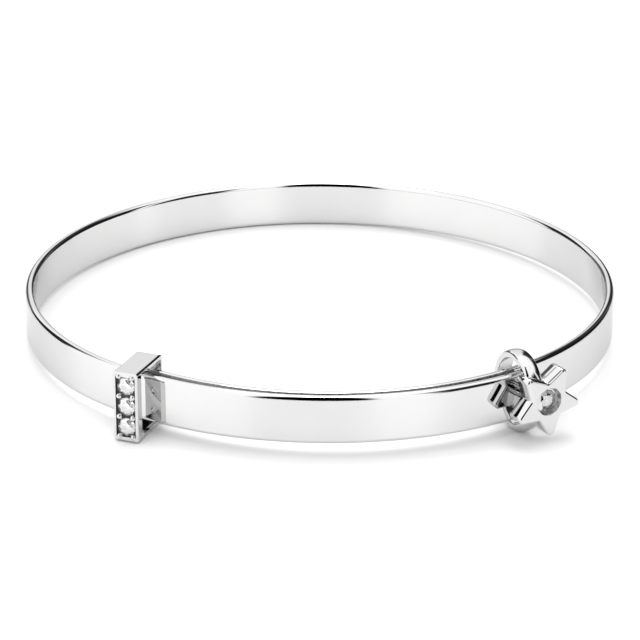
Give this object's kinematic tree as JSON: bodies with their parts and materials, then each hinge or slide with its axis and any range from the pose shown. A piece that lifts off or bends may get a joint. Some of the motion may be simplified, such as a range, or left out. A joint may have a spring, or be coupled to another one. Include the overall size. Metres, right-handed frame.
{
  "type": "baby bangle",
  "caption": "Silver baby bangle with overlapping ends, a bar collar set with round stones, and a round collar that carries a star with a round stone.",
  "frame": {"origin": "centre of the wrist opening, at half the height of the band", "axes": "+Z along the bangle's axis, upwards as it lies; -Y towards the front, where the two layers overlap; +X towards the star's side"},
  "size_m": [0.046, 0.0463, 0.0061],
  "materials": {
    "silver": "mirror-polished sterling silver",
    "stone": "faceted clear stone"
  },
  "bodies": {
    "root": {"band_with_collars": "silver", "bar_stone_1": "stone", "bar_stone_2": "stone", "bar_stone_3": "stone", "star_stone": "stone"}
  },
  "joints": []
}
